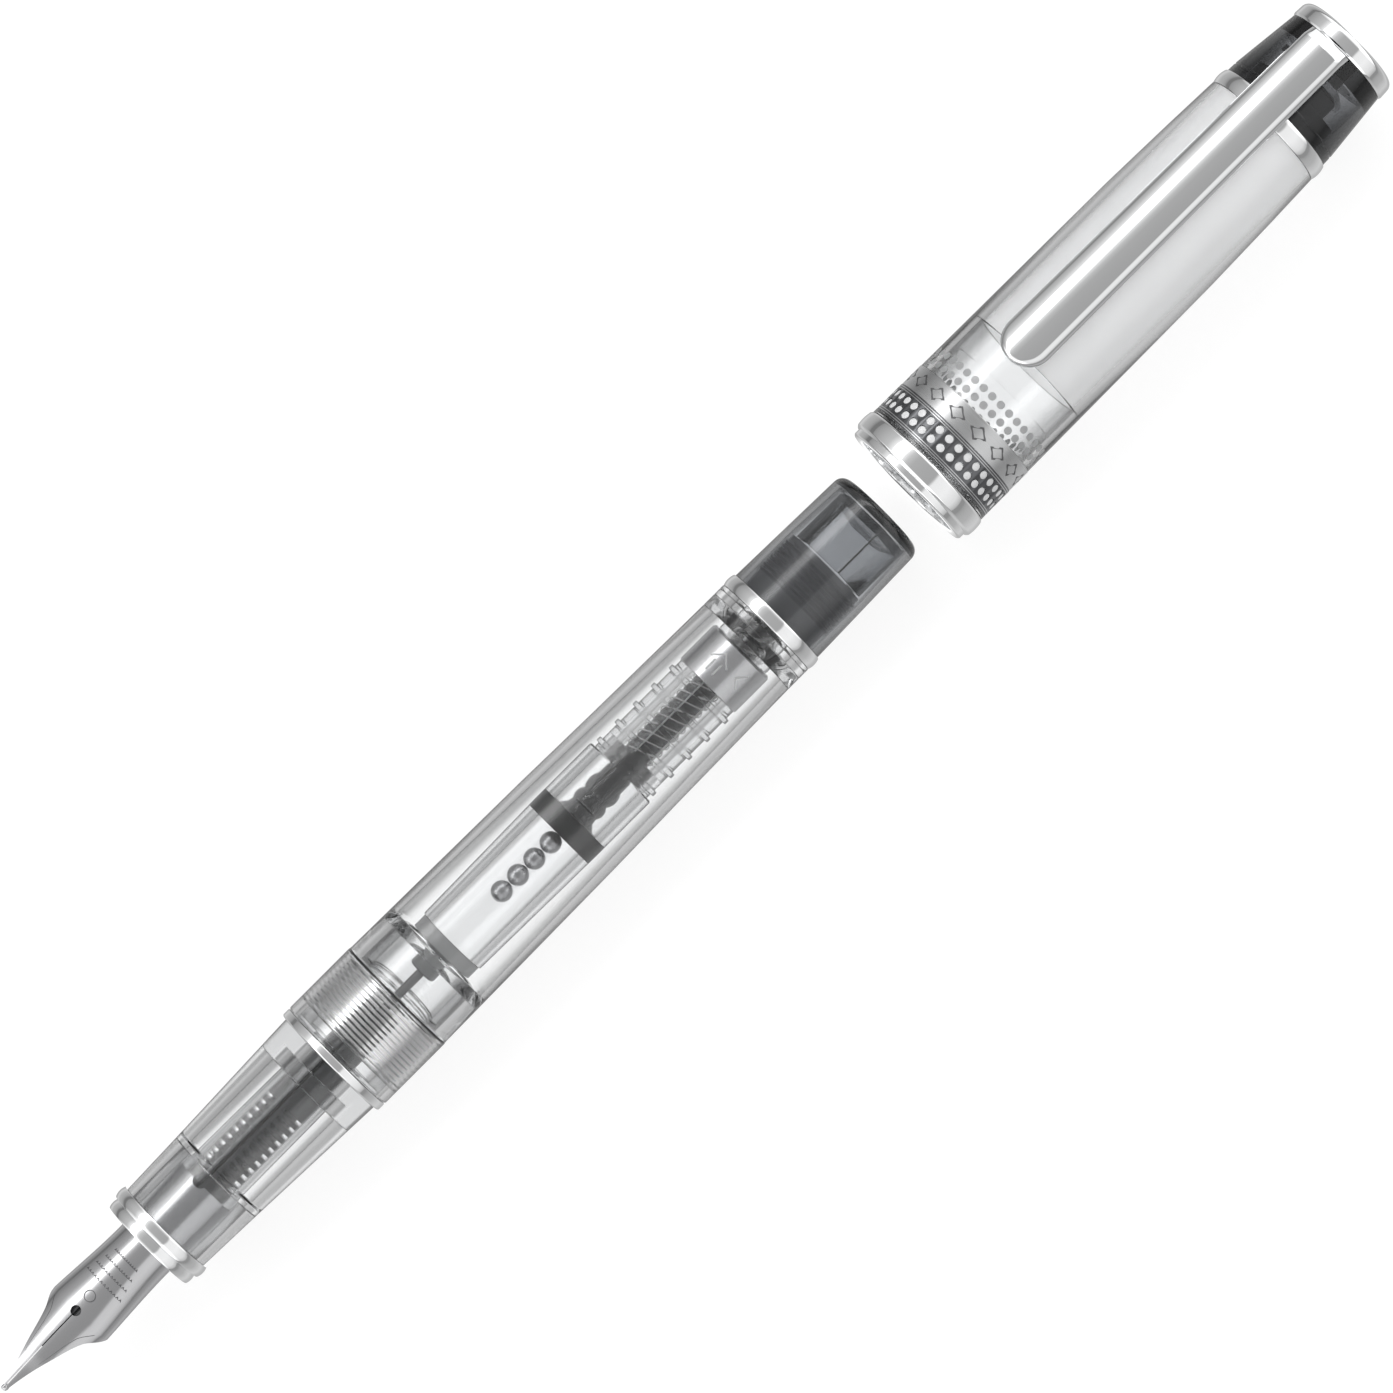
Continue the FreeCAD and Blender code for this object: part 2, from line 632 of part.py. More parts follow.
def build():
    """All pieces, by name."""
    nib = make_nib()
    pieces = {
        "section_shell": make_section_shell(),
        "nib": nib,
        "nib_tipping": make_tipping(nib),
        "feed": make_feed(nib),
        "comb_housing": make_comb_housing(),
        "nib_collar": make_nib_collar(),
        "front_trim_ring": make_front_trim_ring(),
        "rear_trim_ring": make_rear_trim_ring(),
        "ink_pipe": make_ink_pipe(),
        "barrel_tube": make_barrel_tube(),
        "tail_cone": make_tail_cone(),
        "tail_window_ring": sleeve(TAIL_WINDOW, BARREL_REAR, TAIL_BORE),
        "tail_band": sleeve(TAIL_BAND, BARREL_REAR, TAIL_BORE),
        "tail_ring": beaded(TAIL_RING, TAIL_RING_RADIUS, PLUG_NECK, 0.12),
        "tail_plug": make_tail_plug(),
        "tail_cap": make_tail_cap(),
        "tail_insert": make_tail_insert(),
        "converter_mouth": make_converter_mouth(),
        "ink_tube": make_ink_tube(),
        "guide_bush": make_guide_bush(),
        "guide_tube": make_guide_tube(),
        "metal_sleeve": make_metal_sleeve(),
        "twist_knob": make_knob(),
        "piston_seal": make_piston_seal(),
        "piston_rod": make_piston_rod(),
        "spindle": make_spindle(),
        "cap_mouth_ring": make_cap_mouth_ring(),
        "cap_shell": make_cap_shell(),
        "pattern_band": make_pattern_band(),
        "plain_band": make_plain_band(),
        "cap_inner_sleeve": make_cap_inner_sleeve(),
        "cap_liner": make_cap_liner(),
        "cap_upper_ring": make_cap_upper_ring(),
        "cap_top": make_cap_top(),
        "cap_plug": make_cap_plug(),
        "clip_bracket": make_clip_bracket(),
        "finial_ring": make_finial_ring(),
        "finial_disc": make_finial_disc(),
        "clip": make_clip(),
    }
    for number, centre in enumerate(BALL_CENTRES, 1):
        pieces[f"agitator_ball_{number}"] = make_ball(centre)
    return pieces


os.makedirs("parts", exist_ok=True)
for name, shape in build().items():
    shape.translate(V(0, 0, AXIS_HEIGHT))
    if not shape.isValid():
        print("not valid:", name)
    shape.exportStep(f"parts/{name}.step")
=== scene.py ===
"""Looks of the clear fountain pen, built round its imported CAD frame.

Turned pieces are made again as smooth lathe work from their CAD outlines. The nib, the
clip, the screw threads, the spiral and the printed bands are made here in mesh code.
"""
import json
import math

import bmesh
import bpy
from mathutils import Matrix, Vector


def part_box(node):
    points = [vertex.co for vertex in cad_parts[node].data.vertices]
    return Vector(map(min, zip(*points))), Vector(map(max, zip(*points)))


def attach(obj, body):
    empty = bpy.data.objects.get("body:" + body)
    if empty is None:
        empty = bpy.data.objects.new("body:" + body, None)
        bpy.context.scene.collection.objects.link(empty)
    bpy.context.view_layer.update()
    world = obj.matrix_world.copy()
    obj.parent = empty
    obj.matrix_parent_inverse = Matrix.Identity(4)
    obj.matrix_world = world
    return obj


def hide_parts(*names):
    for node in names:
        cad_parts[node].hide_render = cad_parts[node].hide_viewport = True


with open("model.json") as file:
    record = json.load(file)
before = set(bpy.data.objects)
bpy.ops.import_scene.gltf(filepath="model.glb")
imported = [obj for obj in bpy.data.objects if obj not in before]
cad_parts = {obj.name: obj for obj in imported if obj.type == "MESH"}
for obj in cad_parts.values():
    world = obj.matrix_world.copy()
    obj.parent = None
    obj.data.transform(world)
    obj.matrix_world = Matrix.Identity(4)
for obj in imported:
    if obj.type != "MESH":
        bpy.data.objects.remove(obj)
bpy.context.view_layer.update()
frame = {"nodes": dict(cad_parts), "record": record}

MM = 0.001
RECORD = frame["record"]
BODY_OF = {node: body for body, nodes in RECORD["behaviour"]["bodies"].items() for node in nodes}
SLOT_OF = {part["node"]: part["material_slot"] for part in RECORD["subparts"]}

# Height of the pen's axis above the floor.
AXIS_Z = sum(corner.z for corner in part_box("barrel_tube")) / 2

# Sides of a turned piece, and how far its surface is drawn in, so that pieces that touch
# in the CAD have a little air between them.
SEGMENTS = 192
AIR_GAP = 0.008 * MM
EDGE_ROUND = 0.06 * MM

# Points closer than the first are one point, and stations closer than the second are level.
TINY = 1e-7
NEAR = 0.001 * MM

# Turns of an outline, in radians: less than the first is straight, more than the second
# is a corner.
STRAIGHT = math.radians(0.3)
CORNER = math.radians(28)

THREAD_PITCH = 0.45 * MM
THREAD_STEPS = 20
SPIRAL_LEAD = 2 * math.pi / abs(RECORD["behaviour"]["couplings"][0]["ratio"])
SCREW_STARTS = 4

# Round dots of the cap: how many to a row, and half the distance between the two rows.
DOTS_PER_ROW = 36
DOT_ROW = 0.54 * MM


# ---------------------------------------------------------------- mesh helpers

def on_axis(x, radius, angle):
    """Point at a station, a radius and an angle round the pen's axis; angle 0 is the top."""
    return Vector((x, radius * math.sin(angle), AXIS_Z + radius * math.cos(angle)))


def radius_of(node):
    """Largest radius of a turned CAD node."""
    low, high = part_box(node)
    return (high.z - low.z) / 2


def middle_of(node):
    """Station of the middle of a CAD node."""
    low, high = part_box(node)
    return (low.x + high.x) / 2


def outline_of(node):
    """Outline of a turned CAD node as (corners, closed); each corner is Vector((x, radius)).

    It is read along the seam of the turned surfaces, from the corner nearest the nib, the
    outermost one there, and outwards first. An open outline starts and ends on the axis.
    """
    def place(v):
        return round(v.co.x / NEAR), -round(v.co.z / NEAR)

    bm = bmesh.new()
    bm.from_mesh(frame["nodes"][node].data)
    bmesh.ops.remove_doubles(bm, verts=bm.verts, dist=TINY)
    seam = [v for v in bm.verts if abs(v.co.y) < 3 * TINY and v.co.z > AXIS_Z + TINY]
    links = {v: {e.other_vert(v) for e in v.link_edges} & set(seam) for v in seam}
    loose = [v for v in seam if len(links[v]) < 2]
    for v in loose:
        level = [w for w in loose if w is not v and abs(w.co.x - v.co.x) < 3 * TINY]
        if level:
            mate = min(level, key=lambda w: abs(w.co.z - v.co.z))
            links[v].add(mate)
            links[mate].add(v)
    ends = [v for v in seam if len(links[v]) == 1]
    here = min(ends or seam, key=place)
    walk = [here]
    while True:
        onward = [w for w in links[here] if w not in walk]
        if not onward:
            break
        here = max(onward, key=lambda w: w.co.z)
        walk.append(here)
    corners = [Vector((v.co.x, v.co.z - AXIS_Z)) for v in walk]
    bm.free()
    if ends:
        corners = [Vector((corners[0].x, 0))] + corners + [Vector((corners[-1].x, 0))]
    return corners, not ends


def rounded(corners, closed):
    """The outline with straight points dropped and each corner turned into a short curve."""
    count = len(corners)
    result = []
    for i, here in enumerate(corners):
        if not closed and i in (0, count - 1):
            result.append(here)
            continue
        back = corners[i - 1] - here
        ahead = corners[(i + 1) % count] - here
        turn = math.pi - back.angle(ahead)
        if turn < STRAIGHT:
            continue
        sharp = turn > CORNER
        reach = 0.3 * min(back.length, ahead.length)
        if sharp:
            reach = min(EDGE_ROUND, reach)
        start = here + back.normalized() * reach
        end = here + ahead.normalized() * reach
        steps = 4 if sharp else 1
        for k in range(steps + 1):
            t = k / steps
            result.append(start.lerp(here, t).lerp(here.lerp(end, t), t))
    return result


def finish_mesh(bm, name, sharp=34.0, gap=0.0):
    """Object from a bmesh, smooth except across edges that turn by more than sharp degrees.

    gap draws every face in by that much.
    """
    bmesh.ops.remove_doubles(bm, verts=bm.verts, dist=TINY)
    bmesh.ops.recalc_face_normals(bm, faces=bm.faces)
    if gap:
        bm.normal_update()
        steepest = 1.6
        moves = [(v, v.normal * gap * min(v.calc_shell_factor(), steepest)) for v in bm.verts]
        for v, move in moves:
            v.co -= move
    mesh = bpy.data.meshes.new(name)
    bm.to_mesh(mesh)
    bm.free()
    mesh.shade_smooth()
    mesh.set_sharp_from_angle(angle=math.radians(sharp))
    piece = bpy.data.objects.new(name, mesh)
    bpy.context.scene.collection.objects.link(piece)
    return piece


def lathe(name, corners, closed, relief=None, gap=AIR_GAP):
    """Turned piece. relief(x, radius, angle) may give another radius, as for a thread."""
    bm = bmesh.new()
    rings = []
    for corner in corners:
        if corner.y < TINY:
            rings.append([bm.verts.new(on_axis(corner.x, 0, 0))])
            continue
        ring = []
        for i in range(SEGMENTS):
            angle = 2 * math.pi * i / SEGMENTS
            radius = relief(corner.x, corner.y, angle) if relief else corner.y
            ring.append(bm.verts.new(on_axis(corner.x, radius, angle)))
        rings.append(ring)
    pairs = list(zip(rings, rings[1:])) + ([(rings[-1], rings[0])] if closed else [])
    for a, b in pairs:
        for i in range(SEGMENTS):
            j = (i + 1) % SEGMENTS
            face = [a[i % len(a)], a[j % len(a)], b[j % len(b)], b[i % len(b)]]
            face = list(dict.fromkeys(face))
            if len(face) > 2:
                bm.faces.new(face)
    return finish_mesh(bm, name, gap=gap)


def cylinder(radius):
    """Surface for a ribbon: u is the station and v the length round a cylinder."""
    def wall(x, arc, lift):
        return on_axis(x, radius + lift, arc / radius)

    return wall


def wrapped_ribbon(bm, path, width, surface, depth):
    """Thin raised ribbon along path on a curved surface.

    path lists flat points (u, v), and surface(u, v, lift) gives the point in space.
    """
    path = [Vector(p) for p in path]
    loop = (path[0] - path[-1]).length < 1e-9
    if loop:
        path = path[:-1]
    count = len(path)
    rows = []
    for i, here in enumerate(path):
        back = path[i - 1] if (loop or i) else here
        ahead = path[(i + 1) % count] if (loop or i < count - 1) else here
        a = (here - back).normalized() if here != back else Vector((0, 0))
        b = (ahead - here).normalized() if ahead != here else Vector((0, 0))
        along = (a + b).normalized()
        across = Vector((-along.y, along.x))
        stretch = 1 / max(0.5, along.dot(b if b.length else a))
        left = here + across * width / 2 * stretch
        right = here - across * width / 2 * stretch
        rows.append([bm.verts.new(surface(*left, -depth)), bm.verts.new(surface(*left, depth)),
                     bm.verts.new(surface(*right, depth)), bm.verts.new(surface(*right, -depth))])
    steps = list(zip(rows, rows[1:])) + ([(rows[-1], rows[0])] if loop else [])
    for first, second in steps:
        for k in range(4):
            m = (k + 1) % 4
            bm.faces.new([first[k], first[m], second[m], second[k]])
    if not loop:
        bm.faces.new(rows[0])
        bm.faces.new(rows[-1])


def softened(name, node):
    """Copy of a CAD node whose hard edges are rounded off."""
    flat, hard_edge = math.radians(0.6), math.radians(30)
    bm = bmesh.new()
    bm.from_mesh(frame["nodes"][node].data)
    bmesh.ops.remove_doubles(bm, verts=bm.verts, dist=TINY)
    bmesh.ops.dissolve_limit(bm, angle_limit=flat, verts=bm.verts, edges=bm.edges)
    hard = [e for e in bm.edges if len(e.link_faces) == 2 and e.calc_face_angle() > hard_edge]
    bmesh.ops.bevel(bm, geom=hard, offset=0.05 * MM, offset_type="OFFSET", segments=2,
                    profile=0.5, affect="EDGES", clamp_overlap=True)
    return finish_mesh(bm, name, gap=AIR_GAP)


def cut(piece, cutter):
    """Takes the cutter's shape out of the piece, and deletes the cutter."""
    modifier = piece.modifiers.new("cut", "BOOLEAN")
    modifier.operation = "DIFFERENCE"
    modifier.solver = "EXACT"
    modifier.object = cutter
    graph = bpy.context.evaluated_depsgraph_get()
    mesh = bpy.data.meshes.new_from_object(piece.evaluated_get(graph))
    piece.modifiers.clear()
    piece.data = mesh
    bpy.data.objects.remove(cutter)
    mesh.shade_smooth()
    mesh.set_sharp_from_angle(angle=math.radians(30))


def add_box(bm, low, high):
    """Adds a box between two corners."""
    size = Vector(high) - Vector(low)
    middle = (Vector(high) + Vector(low)) / 2
    place = Matrix.Translation(middle) @ Matrix.Diagonal((*size, 1))
    bmesh.ops.create_cube(bm, size=1, matrix=place)


def box_cutter(low, high):
    """Box to cut another piece with."""
    bm = bmesh.new()
    add_box(bm, low, high)
    return finish_mesh(bm, "cutter")


# ---------------------------------------------------------------- materials

# Sockets of a colour Mix node: its two colours and its result.
MIX_A, MIX_B, MIX_RESULT = 6, 7, 2
ACRYLIC_IOR = 1.49
# How much of the painted dark edge shade a step or a thread flank of clear plastic takes.
FLANK_PAINTED_SHADE = 0.40


def node_adder(tree):
    """Helper that adds a shader node, with its inputs set to values or linked to sockets."""
    def add(kind, inputs=(), **settings):
        node = tree.nodes.new("ShaderNode" + kind)
        for key, value in settings.items():
            setattr(node, key, value)
        for key, value in dict(inputs).items():
            if isinstance(value, bpy.types.NodeSocket):
                tree.links.new(value, node.inputs[key])
            else:
                node.inputs[key].default_value = value
        return node

    return add


def shader(name):
    """New material, with its node tree, its main shader and a helper that adds nodes."""
    made = bpy.data.materials.new(name)
    made.use_nodes = True
    tree = made.node_tree
    return made, tree, tree.nodes["Principled BSDF"], node_adder(tree)


def grain(add, stretch, scale, detail=3.0):
    """Noise in object space: stretch is how fast it changes along x, y and z."""
    where = add("TexCoord")
    mapped = add("Mapping", {"Vector": where.outputs["Object"], "Scale": stretch})
    noise = add("TexNoise", {"Vector": mapped.outputs["Vector"], "Scale": scale, "Detail": detail})
    return noise.outputs["Fac"]


def surface_detail(tree, bsdf, add, colour, spread, rough, relief, stretch=(1, 1, 1), scale=2500):
    """Colour that varies by spread, roughness from rough[0] to rough[1], and fine relief."""
    fine = grain(add, stretch, scale)
    broad_scale, broad_detail = 160, 2.0
    broad = grain(add, (1, 1, 1), broad_scale, broad_detail)
    dark = [c * (1 - spread) for c in colour]
    tint = add("Mix", {"Factor": broad, MIX_A: (*dark, 1), MIX_B: (*colour, 1)}, data_type="RGBA")
    tree.links.new(tint.outputs[MIX_RESULT], bsdf.inputs["Base Color"])
    roughness = add("MapRange", {"Value": fine, "To Min": rough[0], "To Max": rough[1]})
    tree.links.new(roughness.outputs["Result"], bsdf.inputs["Roughness"])
    bump = add("Bump", {"Height": fine, "Strength": relief, "Distance": 0.02 * MM})
    tree.links.new(bump.outputs["Normal"], bsdf.inputs["Normal"])


def glass(name, colour, rough, absorb=None, density=0.0, *, edge=0.03, relief=0.02,
          transmission=1.0, painted_glow=0.0):
    """Clear, smoky or frosted plastic.

    absorb and density darken it with thickness. edge is how much light it still passes
    where it is seen at a grazing angle, and at steps and thread flanks, where its colour
    is darkened as painted shade for dark outlines and dark lines. painted_glow is painted
    light, an emission that stands in for light that scatters along a milky wall.
    """
    made, tree, bsdf, add = shader(name)
    bsdf.inputs["IOR"].default_value = ACRYLIC_IOR
    bsdf.inputs["Transmission Weight"].default_value = transmission
    bsdf.inputs["Emission Color"].default_value = (1, 1, 1, 1)
    bsdf.inputs["Emission Strength"].default_value = painted_glow
    surface_detail(tree, bsdf, add, colour, 0.01, rough, relief, (0.4, 1, 1), 900)
    polished = bsdf.inputs["Base Color"].links[0].from_socket
    # Painted shade: the colour darkens where the surface is seen at a grazing angle and on faces that
    # look along the pen's axis, which draws dark outlines and dark lines at steps and thread flanks.
    grazing = add("LayerWeight", {"Blend": 0.5})
    rim = add("MapRange", {"Value": grazing.outputs["Facing"], "From Min": 0.62, "From Max": 0.85})
    normal = add("SeparateXYZ", {"Vector": add("TexCoord").outputs["Normal"]})
    along = add("Math", {0: normal.outputs["X"]}, operation="ABSOLUTE")
    flank = add("MapRange", {"Value": along.outputs["Value"], "From Min": 0.74, "From Max": 0.90,
                             "To Max": FLANK_PAINTED_SHADE})
    share = add("Math", {0: rim.outputs["Result"], 1: flank.outputs["Result"]}, operation="MAXIMUM")
    tint = (*[edge * c for c in colour], 1)
    painted_edge_shade = add("Mix", {"Factor": share.outputs["Value"], MIX_A: polished, MIX_B: tint},
                 data_type="RGBA")
    tree.links.new(painted_edge_shade.outputs[MIX_RESULT], bsdf.inputs["Base Color"])
    if density:
        inside = add("VolumeAbsorption", {"Color": (*absorb, 1), "Density": density})
        output = tree.nodes["Material Output"]
        tree.links.new(inside.outputs["Volume"], output.inputs["Volume"])
    return made


def metal(name, colour, rough, relief, stretch, scale):
    """Bare or plated metal; stretch and scale give the direction and size of its brush marks."""
    made, tree, bsdf, add = shader(name)
    bsdf.inputs["Metallic"].default_value = 1.0
    surface_detail(tree, bsdf, add, colour, 0.05, rough, relief, stretch, scale)
    return made


def plastic(name, colour, rough, relief, coat=0.0):
    """Opaque moulded plastic, rubber or lacquer; coat is the weight of its gloss layer."""
    made, tree, bsdf, add = shader(name)
    bsdf.inputs["Coat Weight"].default_value = coat
    surface_detail(tree, bsdf, add, colour, 0.2, rough, relief)
    return made


# Stretch of the brush marks: turned ones run round the pen, the others along it.
TURNED = (1, 0.02, 0.02)
LENGTHWISE = (0.03, 1, 1)

# Each finish: its colour, its least and most roughness, and what its maker's arguments say.
FINISH = {
    "clear_acrylic": glass("clear_acrylic", (0.985, 0.988, 0.99), (0.0, 0.02), (0.3, 0.31, 0.32), 70),
    "smoke_clear": glass("smoke_clear", (0.86, 0.87, 0.88), (0.02, 0.06), (0.2, 0.2, 0.21), 100),
    "smoke_acrylic": glass("smoke_acrylic", (0.86, 0.87, 0.885), (0.0, 0.03), (0.08, 0.085, 0.09), 420),
    # The frosted liner's faint emission is painted light, standing in for light that scatters along its
    # milky wall.
    "frosted_liner": glass("frosted_liner", (0.97, 0.972, 0.975), (0.40, 0.50), transmission=0.15,
                           relief=0.1, edge=0.8, painted_glow=0.20),
    "smoke_dark": glass("smoke_dark", (0.80, 0.81, 0.83), (0.0, 0.03), (0.06, 0.065, 0.07), 900),
    "chrome_trim": metal("chrome_trim", (0.90, 0.905, 0.91), (0.04, 0.09), 0.03, TURNED, 9000),
    "nib_steel": metal("nib_steel", (0.60, 0.60, 0.61), (0.12, 0.20), 0.10, LENGTHWISE, 9000),
    "tipping_metal": metal("tipping_metal", (0.70, 0.70, 0.71), (0.2, 0.35), 0.1, (1, 1, 1), 9000),
    "clip_chrome": metal("clip_chrome", (0.86, 0.865, 0.87), (0.05, 0.09), 0.02, LENGTHWISE, 9000),
    "ball_steel": metal("ball_steel", (0.55, 0.55, 0.56), (0.30, 0.36), 0.03, (1, 1, 1), 5000),
    "sleeve_metal": metal("sleeve_metal", (0.62, 0.62, 0.63), (0.16, 0.22), 0.03, TURNED, 12000),
    "band_pale": metal("band_pale", (0.62, 0.625, 0.63), (0.22, 0.36), 0.15, TURNED, 14000),
    "band_dark": metal("band_dark", (0.16, 0.163, 0.17), (0.24, 0.36), 0.08, (1, 1, 1), 9000),
    "feed_plastic": plastic("feed_plastic", (0.09, 0.093, 0.097), (0.18, 0.32), 0.15, 0.3),
    "black_rubber": plastic("black_rubber", (0.010, 0.010, 0.011), (0.35, 0.55), 0.3),
    "black_plastic": plastic("black_plastic", (0.008, 0.008, 0.009), (0.10, 0.18), 0.08, 0.5),
    "grey_plastic": plastic("grey_plastic", (0.20, 0.205, 0.21), (0.3, 0.45), 0.2),
    "plug_plastic": plastic("plug_plastic", (0.23, 0.233, 0.24), (0.16, 0.26), 0.1, 0.5),
    "mouth_plastic": plastic("mouth_plastic", (0.46, 0.465, 0.47), (0.2, 0.3), 0.1, 0.3),
    "engraving": metal("engraving", (0.16, 0.16, 0.165), (0.4, 0.6), 0.1, (1, 1, 1), 9000),
    # Pale colour of the ribs and marks: a painted highlight for edges that catch the light.
    "painted_highlight_rib": plastic("painted_highlight_rib", (0.86, 0.865, 0.87), (0.2, 0.3), 0.1, 0.2),
    "dot_lacquer": plastic("dot_lacquer", (0.78, 0.785, 0.79), (0.2, 0.35), 0.1, 0.3),
    # Colour of a painted image of the dark band's dots seen through the clear cap.
    "painted_dot_image": plastic("painted_dot_image", (0.85, 0.855, 0.86), (0.4, 0.5), 0.1),
}

# Nodes whose look differs from the rest of their slot.
SPECIAL_FINISH = {
    "clip": "clip_chrome", "converter_mouth": "mouth_plastic", "ink_pipe": "mouth_plastic",
    "tail_plug": "plug_plastic", "cap_top": "smoke_dark", "tail_cone": "clear_acrylic",
    "tail_band": "clear_acrylic", "comb_housing": "clear_acrylic",
}


def stands_for(piece, nodes):
    """The piece takes the place, the body and the finish of these CAD nodes."""
    slot = SLOT_OF[nodes[0]]
    piece.data.materials.clear()
    piece.data.materials.append(FINISH[SPECIAL_FINISH.get(nodes[0], slot)])
    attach(piece, BODY_OF[nodes[0]])
    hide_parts(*nodes)
    return piece


def added(piece, body, finish):
    """A small piece of its own that has no CAD node."""
    piece.data.materials.append(FINISH[finish])
    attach(piece, body)
    return piece


# ---------------------------------------------------------------- turned pieces

TURNED_NODES = (
    "comb_housing", "nib_collar", "front_trim_ring", "rear_trim_ring", "ink_pipe",
    "tail_cone", "tail_window_ring", "tail_band", "tail_ring", "tail_plug", "tail_cap",
    "converter_mouth", "ink_tube", "guide_bush", "guide_tube", "metal_sleeve", "twist_knob",
    "piston_rod", "cap_mouth_ring", "cap_shell", "plain_band",
    "cap_inner_sleeve", "cap_liner", "cap_upper_ring", "cap_plug", "finial_ring", "finial_disc",
)

# Nodes whose CAD shape is kept, with its hard edges rounded off.
SOFTENED_NODES = ("nib_tipping", "feed", "clip_bracket", "tail_insert", "pattern_band")


def make_turned_pieces():
    """Plain lathe work, straight from the CAD outlines."""
    for node in TURNED_NODES:
        corners, closed = outline_of(node)
        stands_for(lathe(node + "_turned", rounded(corners, closed), closed), [node])


def make_seal():
    """Piston seal, with its outside pressed on the wall of the ink tube."""
    corners, closed = outline_of("piston_seal")
    wall = min(c.y for c in outline_of("ink_tube")[0])
    pressed, waist = 0.03 * MM, 0.35 * MM

    def outside(x, radius, angle):
        return wall + pressed if wall - radius < waist else radius

    seal = lathe("piston_seal_turned", rounded(corners, closed), closed, outside)
    return stands_for(seal, ["piston_seal"])


def fine_run(start, end, radius, step):
    """Points along a plain stretch of an outline, close enough to carry a thread."""
    count = round(abs(end - start) / step)
    return [Vector((start + (end - start) * i / count, radius)) for i in range(count + 1)]


def groove(phase, width=0.5):
    """Depth of a thread's V groove over one pitch: 0 on the flat crest and 1 at its root."""
    distance = abs(phase % 1 - 0.5) * 2
    return max(0.0, 1 - distance / width)


def make_section():
    """Section with a true screw thread in place of the CAD's rings.

    Its pitch is the distance of the rings, whose flat crests are a share, flat, of it.
    """
    corners, closed = outline_of("section_shell")
    ring_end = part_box("rear_trim_ring")[1].x
    behind = [c for c in corners if c.x > ring_end]
    tip = max(c.y for c in behind)
    crests = [c for c in behind if tip - c.y < TINY]
    start, end = min(c.x for c in crests), max(c.x for c in crests)
    turns = len(crests) // 2
    flat = 0.2
    pitch = (end - start) / (turns - 1 + flat)
    deepest = 0.5 * MM
    roots = [c for c in behind if start < c.x < end and c.y > tip - deepest]
    root = min(c.y for c in roots)
    first = min(i for i, c in enumerate(corners) if c in crests)
    last = max(i for i, c in enumerate(corners) if c in crests)
    before, after = corners[:first], corners[last + 1:]
    run = fine_run(corners[first].x, corners[last].x, root, pitch / THREAD_STEPS)
    near = 0.02 * MM

    def thread(x, radius, angle):
        if abs(radius - root) > near or not start <= x <= end:
            return radius
        fade = min(1.0, (x - start) / pitch, (end - x) / pitch)
        return radius + (tip - root) * fade * (1 - groove(x / pitch - angle / (2 * math.pi)))

    outline = rounded(before + run[:1], False)[:-1] + run + rounded(run[-1:] + after, False)[1:]
    return stands_for(lathe("section_threaded", outline, closed, thread), ["section_shell"])


def with_fine_run(outline, radius, step):
    """The closed outline, with its straight stretch at this radius cut into short steps."""
    result = []
    for here, ahead in zip(outline, outline[1:] + outline[:1]):
        result.append(here)
        if max(abs(here.y - radius), abs(ahead.y - radius)) < TINY:
            result += fine_run(here.x, ahead.x, radius, step)[1:-1]
    return result


def make_barrel():
    """Barrel with the female thread in its mouth, cut as a true helix."""
    corners, closed = outline_of("barrel_tube")
    ring_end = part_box("rear_trim_ring")[1].x
    bore = min(c.y for c in corners if c.x < ring_end + 1 * MM)
    mouth = [c.x for c in corners if abs(c.y - bore) < TINY]
    lead_in, run_out, depth = 1.2 * MM, 0.2 * MM, 0.20 * MM
    start, end = min(mouth) + lead_in, max(mouth) - run_out
    outline = with_fine_run(rounded(corners, closed), bore, THREAD_PITCH / THREAD_STEPS)

    def thread(x, radius, angle):
        if abs(radius - bore) > TINY or not start <= x <= end:
            return radius
        fade = min(1.0, (x - start) / THREAD_PITCH, (end - x) / THREAD_PITCH)
        return radius + depth * fade * groove(x / THREAD_PITCH - angle / (2 * math.pi))

    return stands_for(lathe("barrel_threaded", outline, closed, thread), ["barrel_tube"])


def make_joint_ring():
    """Thin dark ring let into the barrel, where its plain front ends."""
    outline = outline_of("barrel_tube")[0]
    outside = max(c.y for c in outline)
    place = max(c.x for c in outline if outside - c.y < TINY)
    half, depth, sunk = 0.10 * MM, 0.30 * MM, 0.02 * MM
    section = [Vector((place - half, outside - depth)), Vector((place - half, outside - sunk)),
               Vector((place + half, outside - sunk)), Vector((place + half, outside - depth))]
    return added(lathe("barrel_joint_ring", section, True), "barrel", "black_rubber")


def make_comb_gap_shade():
    """Black cylinder inside the feed's comb: painted shade that darkens the bottoms of its gaps."""
    low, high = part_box("comb_housing")
    short, radius = 0.2 * MM, 1.49 * MM
    start, end = low.x + short, high.x - short
    section = [Vector((start, 0)), Vector((start, radius)), Vector((end, radius)), Vector((end, 0))]
    gap_shade = lathe("comb_gap_shade", rounded(section, False), False, gap=0.0)
    return added(gap_shade, "section", "black_plastic")


